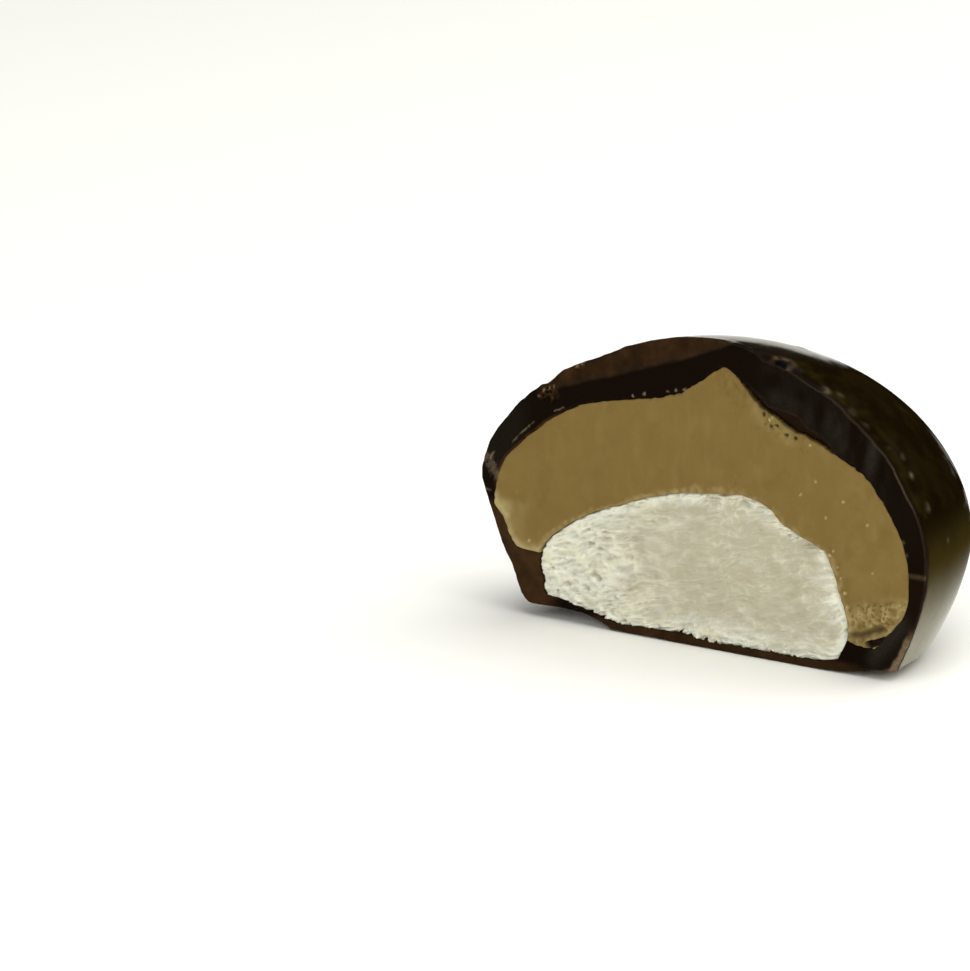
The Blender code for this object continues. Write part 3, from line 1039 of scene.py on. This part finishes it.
def scatter(name, holder, places, draw):
    """Small broken crumbs on the front of a piece and in its material, none proud of the cut."""
    source = bpy.data.objects.get(holder)
    if source is None:
        raise RuntimeError(f"crumbs need the piece {holder}")
    corners = [point.co for point in source.data.vertices]
    tree = BVHTree.FromPolygons(corners, [face.vertices for face in source.data.polygons])
    shape = bmesh.new()
    for x, z, radius in places:
        hit = tree.ray_cast(Vector((x, CUT_Y - 10, z)) * MM, Vector((0, 1, 0)))[0]
        if hit is None:
            continue
        y = max(hit.y / MM + 0.2 * radius, CUT_Y + 1.6 * radius + 0.01)
        made = bmesh.ops.create_icosphere(shape, subdivisions=2, radius=1)
        stretch = draw.uniform(0.6, 1.3, 3)
        turn = Matrix.Rotation(draw.uniform(0, 6.28), 3, "X")
        turn = turn @ Matrix.Rotation(draw.uniform(0, 6.28), 3, "Z")
        for corner in made["verts"]:
            lump = 1 + draw.uniform(-0.22, 0.22)
            spread = Vector([value * scale for value, scale in zip(corner.co, stretch)])
            corner.co = (turn @ spread) * (radius * lump * MM) + Vector((x, y, z)) * MM
    mesh = bpy.data.meshes.new(name)
    fill_mesh(mesh, shape)
    mesh.shade_flat()
    piece = new_object(name, mesh)
    mesh.materials.append(source.data.materials[-1])
    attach(piece, "root")


def around(draw, places, spread, radius, count):
    """Places and sizes of a few crumbs round each place."""
    return [
        (x + draw.normal(0, spread), z + draw.normal(0, spread), radius * draw.uniform(0.5, 1.3))
        for x, z in places
        for number in range(count)
    ]


def make_crumbs(settings):
    draw = np.random.default_rng(settings.seed)
    chocolate = around(draw, [(-11.8, 15.1), (-11.5, 15.3)], 0.3, 0.09, 7)
    chocolate += around(draw, [(-16.2, 9.9), (-9.3, 17.1)], 0.2, 0.06, 4)
    scatter("Chocolate_crumbs", "Chocolate_coat", chocolate, draw)
    spread = [(draw.uniform(11.3, 14.6), draw.uniform(3, 4.6)) for number in range(70)]
    spread = [(x, z + 0.25 * max(x - 12, 0)) for x, z in spread]
    truffle = around(draw, spread, 0.05, 0.085, 1)
    by_tip = [(5.6, 15.6), (5.9, 15), (6.9, 14.6), (7.9, 14.3), (5.1, 15.6)]
    truffle += around(draw, by_tip, 0.25, 0.08, 5)
    truffle += around(draw, [(9.9, 7.8), (10.6, 6.9), (11, 6.1), (11.2, 5.2)], 0.16, 0.06, 4)
    over_core = [(-5.7, 8.9), (-3.4, 9.6), (-7.6, 8.1), (-0.4, 10.5), (1, 10.7), (2.9, 10.8)]
    truffle += around(draw, over_core, 0.2, 0.06, 3)
    scatter("Truffle_crumbs", "Coffee_truffle", truffle, draw)


# Materials


# Painted shade in the middle of the crumb pit
HOLE_SHADE_COLOUR = (0.0005, 0.0002, 0.0001)


class Look:
    """A material and the nodes that make its colour."""

    def __init__(self, name):
        self.material = bpy.data.materials.new(name)
        self.material.use_nodes = True
        self.tree = self.material.node_tree
        self.shader = self.tree.nodes["Principled BSDF"]

    def fill(self, node, inputs):
        """Links each input of a node, or sets it to a number or a colour."""
        for name, value in inputs.items():
            socket = node.inputs[name]
            if hasattr(value, "is_output"):
                self.tree.links.new(value, socket)
            else:
                socket.default_value = (*value[:3], 1) if socket.type == "RGBA" else value

    def node(self, kind, output, inputs, **options):
        made = self.tree.nodes.new(kind)
        for name, value in options.items():
            setattr(made, name, value)
        self.fill(made, inputs)
        return made.outputs[output]

    def painted(self, name):
        return self.node("ShaderNodeAttribute", "Fac", {}, attribute_name=name)

    def noise(self, scale, detail=3, roughness=0.55, stretch=(1, 1, 1)):
        """Noise over the piece. Scale is the number of cells in a millimetre."""
        place = self.node("ShaderNodeTexCoord", "Object", {})
        sizes = [1000 * side for side in stretch]
        sized = self.node("ShaderNodeMapping", "Vector", {"Vector": place, "Scale": sizes})
        inputs = {"Vector": sized, "Scale": scale, "Detail": detail, "Roughness": roughness}
        return self.node("ShaderNodeTexNoise", "Fac", inputs)

    def span(self, value, low, high, start=0, end=1):
        """Carries a value from one range to another."""
        inputs = {"Value": value, "From Min": low, "From Max": high, "To Min": start, "To Max": end}
        return self.node("ShaderNodeMapRange", "Result", inputs)

    def uneven(self, name, *pattern):
        """A painted value times a pattern."""
        factors = {0: self.painted(name), 1: self.span(*pattern)}
        return self.node("ShaderNodeMath", "Value", factors, operation="MULTIPLY")

    def colour(self, base, *layers):
        """Lays colours over a base, each by its own share."""
        for share, colour in layers:
            base = self.node("ShaderNodeMix", 2, {0: share, 6: base, 7: colour}, data_type="RGBA")
        self.fill(self.shader, {"Base Color": base})

    def relief(self, height, strength, distance):
        inputs = {"Height": height, "Strength": strength, "Distance": distance}
        self.fill(self.shader, {"Normal": self.node("ShaderNodeBump", "Normal", inputs)})

    def surface(self, roughness, specular, **others):
        inputs = {name.replace("_", " "): value for name, value in others.items()}
        self.fill(self.shader, {"Roughness": roughness, "Specular IOR Level": specular, **inputs})


def glossy_chocolate(settings):
    look = Look("Glossy chocolate")
    look.colour(
        settings.outside_colour,
        # Olive clouds, and low on the right side a painted reflection of the floor
        (look.painted("warmth"), settings.olive_and_reflection_colour),
        # Painted reflection of the floor, palest near the foot
        (look.painted("satin"), settings.floor_reflection_colour),
        # Pale bumps with painted glints, and a ring round the crumb pit
        (look.painted("frost"), settings.frost_colour),
    )
    look.surface(
        0.5,
        0,
        Coat_Weight=look.painted("gloss"),
        Coat_Roughness=settings.gloss_roughness,
        Coat_IOR=1.6,
        Coat_Tint=(1, 0.98, 0.86),
    )
    return look.material


def cut_chocolate(settings):
    look = Look("Cut chocolate")
    patches = look.noise(0.9)
    grain = look.noise(5)
    look.colour(
        settings.cut_colour,
        (look.uneven("warmth", patches, 0.3, 0.7, 0.6, 1.25), settings.warm_colour),
        # Painted sheen of the knife's streaks
        (look.uneven("satin", grain, 0.35, 0.7, 0.7, 1.1), settings.streak_sheen_colour),
        # Frost of scratches and scuffs, with painted glints and highlights
        (look.uneven("frost", grain, 0.35, 0.65, 0.7, 1.2), settings.frost_colour),
        # Painted shade in the crumb pit
        (look.painted("hole_shade"), HOLE_SHADE_COLOUR),
    )
    look.surface(look.span(grain, 0.3, 0.7, settings.cut_roughness, settings.cut_roughness + 0.16), 0.02)
    look.relief(grain, 0.35, 0.05 * MM)
    return look.material


def truffle_material(settings):
    look = Look("Coffee truffle")
    cloud = look.noise(0.45, 4)
    mottle = look.noise(1.6, 4, 0.6)
    look.colour(
        settings.deep_colour,
        (look.span(cloud, 0.32, 0.68), settings.colour),
        (look.span(mottle, 0.62, 0.8, 0, 0.1), settings.pale_colour),
        (look.uneven("pale", mottle, 0.3, 0.7, 0.7, 1.1), settings.pale_colour),
        # Painted shade in tears, pits and the hollow, and the darker band and tip
        (look.painted("dark"), settings.shade_and_dark_tone_colour),
    )
    look.surface(
        look.span(mottle, 0.3, 0.7, 0.5, 0.68),
        0.2,
        Subsurface_Weight=0.12,
        Subsurface_Radius=(1, 0.6, 0.3),
        Subsurface_Scale=0.5 * MM,
    )
    look.relief(look.noise(7, 2), 0.3, 0.06 * MM)
    return look.material


def core_material(settings):
    look = Look("White core")
    cloud = look.noise(0.5, 4)
    shreds = look.noise(2.4, 5, 0.65, (0.6, 1, 1.5))
    look.colour(
        settings.warm_colour,
        (look.span(cloud, 0.35, 0.65), settings.colour),
        (look.painted("cool"), settings.cool_colour),
        # Painted highlight on the crests, over their creamy tone
        (look.painted("crest"), settings.creamy_highlight_colour),
        # Painted shade between the shreds
        (look.uneven("hollow", shreds, 0.3, 0.7, 0.6, 1.1), settings.shade_and_beige_colour),
    )
    look.surface(
        0.85,
        0.2,
        Subsurface_Weight=0.1,
        Subsurface_Radius=(1, 0.85, 0.6),
        Subsurface_Scale=0.25 * MM,
    )
    look.relief(shreds, 0.5, 0.12 * MM)
    return look.material


# Settings


def colour_property(name, description, default):
    return bpy.props.FloatVectorProperty(
        name=name, description=description, default=default, subtype="COLOR", size=3, min=0.0, max=1.0
    )


def share_property(name, description, default):
    return bpy.props.FloatProperty(name=name, description=description, default=default, min=0.0, max=1.0)


class PralineCoatSettings(bpy.types.PropertyGroup):
    outside_colour: colour_property("Outside", "Colour of the outside", (0.0058, 0.0033, 0.0008))
    # The olive colour also paints the floor's reflection low on the right side
    olive_and_reflection_colour: colour_property("Clouds", "Colour of the outside's lighter clouds", (0.075, 0.055, 0.012))
    # Painted reflection of the floor low on the right side of the outside
    floor_reflection_colour: colour_property("Reflection", "Colour of the bloom low on the right side", (0.36, 0.36, 0.235))
    cut_colour: colour_property("Cut face", "Colour of the cut chocolate", (0.0052, 0.0023, 0.0008))
    warm_colour: colour_property("Broken", "Colour of chips, pits and thin chocolate", (0.05, 0.024, 0.0085))
    # Colour of the painted sheen on the cut face
    streak_sheen_colour: colour_property("Streaks", "Colour of the knife's satin streaks", (0.02, 0.0165, 0.011))
    # Colour of scratches and scuffs, and of painted glints and highlights
    frost_colour: colour_property("Frost", "Colour of scratches and scuffs", (0.42, 0.315, 0.2))
    gloss_roughness: share_property("Outside roughness", "Roughness of the outside", 0.12)
    cut_roughness: share_property("Cut roughness", "Roughness of the cut face", 0.36)


class PralineTruffleSettings(bpy.types.PropertyGroup):
    colour: colour_property("Truffle", "Main colour of the truffle", (0.214, 0.138, 0.032))
    deep_colour: colour_property("Deep", "Colour of its darker clouds", (0.19, 0.122, 0.027))
    pale_colour: colour_property("Pale", "Colour of smeared edges and specks", (0.43, 0.34, 0.15))
    # Painted shade in tears, pits and gaps, and the dark tone of the band and tip
    shade_and_dark_tone_colour: colour_property("Pits", "Colour of tears and pits", (0.017, 0.0095, 0.0008))


class PralineCoreSettings(bpy.types.PropertyGroup):
    colour: colour_property("Core", "Main colour of the core", (0.56, 0.54, 0.4))
    warm_colour: colour_property("Warm", "Colour of its beige clouds", (0.5, 0.46, 0.335))
    cool_colour: colour_property("Cool", "Colour towards its edges", (0.84, 0.85, 0.73))
    # Creamy tone and painted highlight on the shreds' crests
    creamy_highlight_colour: colour_property("Crests", "Colour of the shreds' creamy crests", (0.86, 0.82, 0.62))
    # Painted shade between the shreds, and the beige of the middle
    shade_and_beige_colour: colour_property("Hollows", "Colour between the shreds", (0.4, 0.36, 0.25))


class PralineCrumbSettings(bpy.types.PropertyGroup):
    seed: bpy.props.IntProperty(name="Seed", description="Seed of the crumbs' places", default=7)


class PralineStageSettings(bpy.types.PropertyGroup):
    floor_colour: colour_property("Floor", "Colour of the floor", (0.93, 0.925, 0.87))
    floor_size: bpy.props.FloatProperty(
        name="Floor size", description="Length of the floor's sides", default=4.0, unit="LENGTH"
    )
    lens: bpy.props.FloatProperty(
        name="Lens", description="Focal length of the camera in millimetres", default=207.93
    )
    distance: bpy.props.FloatProperty(
        name="Camera distance", description="From the foot of the cut", default=0.36, unit="LENGTH"
    )


# Stage

# Where the camera stands round the foot of the cut and above it, and where it looks, in degrees
CUT_FOOT = (2.1, CUT_Y, 0)
CAMERA_TURN = 33
CAMERA_LIFT = 15.5
VIEW_TURN = 35.51
VIEW_DOWN = 13.81


def area_light(name, place, target, size, power, colour=(1, 1, 1)):
    data = bpy.data.lights.new(name, "AREA")
    data.shape = "RECTANGLE"
    data.size, data.size_y = size
    data.energy = power
    data.color = colour
    light = new_object(name, data)
    light.location = place
    toward = Vector(target) - Vector(place)
    light.rotation_euler = toward.to_track_quat("-Z", "Y").to_euler()


def make_stage(settings):
    scene = bpy.context.scene
    mesh = bpy.data.meshes.new("Floor")
    shape = bmesh.new()
    bmesh.ops.create_grid(shape, x_segments=1, y_segments=1, size=settings.floor_size / 2)
    fill_mesh(mesh, shape)
    floor = new_object("Floor", mesh)
    look = Look("Floor")
    look.colour(settings.floor_colour)
    look.surface(0.9, 0.1)
    mesh.materials.append(look.material)

    world = bpy.data.worlds.new("Room")
    world.use_nodes = True
    room = world.node_tree.nodes["Background"]
    room.inputs["Color"].default_value = (0.8, 0.72, 0.5, 1)
    room.inputs["Strength"].default_value = 0.02
    scene.world = world

    area_light("Overhead light", (0.2, 0.13, 0.5), (0, 0.05, 0), (1.2, 0.9), 8)
    area_light("Front light", (0.05, -0.8, 0.4), (0, 0, 0.01), (0.7, 0.5), 3.3)
    area_light("Back light", (-0.55, 0.85, 0.1), (0, 0, 0.01), (0.6, 0.2), 0.35, (1, 0.98, 0.88))

    turn = math.radians(CAMERA_TURN)
    lift = math.radians(CAMERA_LIFT)
    way = Vector((math.sin(turn) * math.cos(lift), -math.cos(turn) * math.cos(lift), math.sin(lift)))
    data = bpy.data.cameras.new("Camera")
    data.lens = settings.lens
    data.clip_start = 0.01
    camera = new_object("Camera", data)
    camera.location = Vector(CUT_FOOT) * MM + way * settings.distance
    camera.rotation_euler = (math.radians(90 - VIEW_DOWN), 0, math.radians(VIEW_TURN))
    scene.camera = camera
    scene.view_settings.view_transform = "Standard"


# Operators and panel


class PRALINE_OT_coat(bpy.types.Operator):
    """Makes the chocolate coat with its glossy outside and its cut face"""

    bl_idname = "praline.make_coat"
    bl_label = "Chocolate Coat"

    def execute(self, context):
        make_coat(context.scene.praline_coat)
        return {"FINISHED"}


class PRALINE_OT_truffle(bpy.types.Operator):
    """Makes the coffee truffle that lies over the core"""

    bl_idname = "praline.make_truffle"
    bl_label = "Coffee Truffle"

    def execute(self, context):
        make_truffle(context.scene.praline_truffle)
        return {"FINISHED"}


class PRALINE_OT_core(bpy.types.Operator):
    """Makes the white, fibrous core"""

    bl_idname = "praline.make_core"
    bl_label = "White Core"

    def execute(self, context):
        make_core(context.scene.praline_core)
        return {"FINISHED"}


class PRALINE_OT_crumbs(bpy.types.Operator):
    """Makes the crumbs of chocolate and truffle that stick to the cut"""

    bl_idname = "praline.make_crumbs"
    bl_label = "Crumbs"

    def execute(self, context):
        make_crumbs(context.scene.praline_crumbs)
        return {"FINISHED"}


class PRALINE_OT_stage(bpy.types.Operator):
    """Makes the pale floor, the soft lights and the camera"""

    bl_idname = "praline.make_stage"
    bl_label = "Stage"

    def execute(self, context):
        make_stage(context.scene.praline_stage)
        return {"FINISHED"}


class PRALINE_PT_panel(bpy.types.Panel):
    """Lists the pieces of the praline"""

    bl_idname = "PRALINE_PT_panel"
    bl_label = "Praline"
    bl_space_type = "VIEW_3D"
    bl_region_type = "UI"
    bl_category = "Praline"

    def draw(self, context):
        for operator in OPERATORS:
            self.layout.operator(operator.bl_idname)
        for name, group in SETTINGS.items():
            box = self.layout.box()
            for setting in group.__annotations__:
                box.prop(getattr(context.scene, name), setting)


OPERATORS = (
    PRALINE_OT_stage,
    PRALINE_OT_coat,
    PRALINE_OT_truffle,
    PRALINE_OT_core,
    PRALINE_OT_crumbs,
)

SETTINGS = {
    "praline_coat": PralineCoatSettings,
    "praline_truffle": PralineTruffleSettings,
    "praline_core": PralineCoreSettings,
    "praline_crumbs": PralineCrumbSettings,
    "praline_stage": PralineStageSettings,
}


def register():
    for name, group in SETTINGS.items():
        bpy.utils.register_class(group)
        setattr(bpy.types.Scene, name, bpy.props.PointerProperty(type=group))
    for kind in (*OPERATORS, PRALINE_PT_panel):
        bpy.utils.register_class(kind)


def unregister():
    for kind in (PRALINE_PT_panel, *reversed(OPERATORS)):
        bpy.utils.unregister_class(kind)
    for name, group in SETTINGS.items():
        delattr(bpy.types.Scene, name)
        bpy.utils.unregister_class(group)


def main():
    register()
    bpy.ops.praline.make_stage()
    bpy.ops.praline.make_coat()
    bpy.ops.praline.make_truffle()
    bpy.ops.praline.make_core()
    bpy.ops.praline.make_crumbs()


if __name__ == "__main__":
    main()
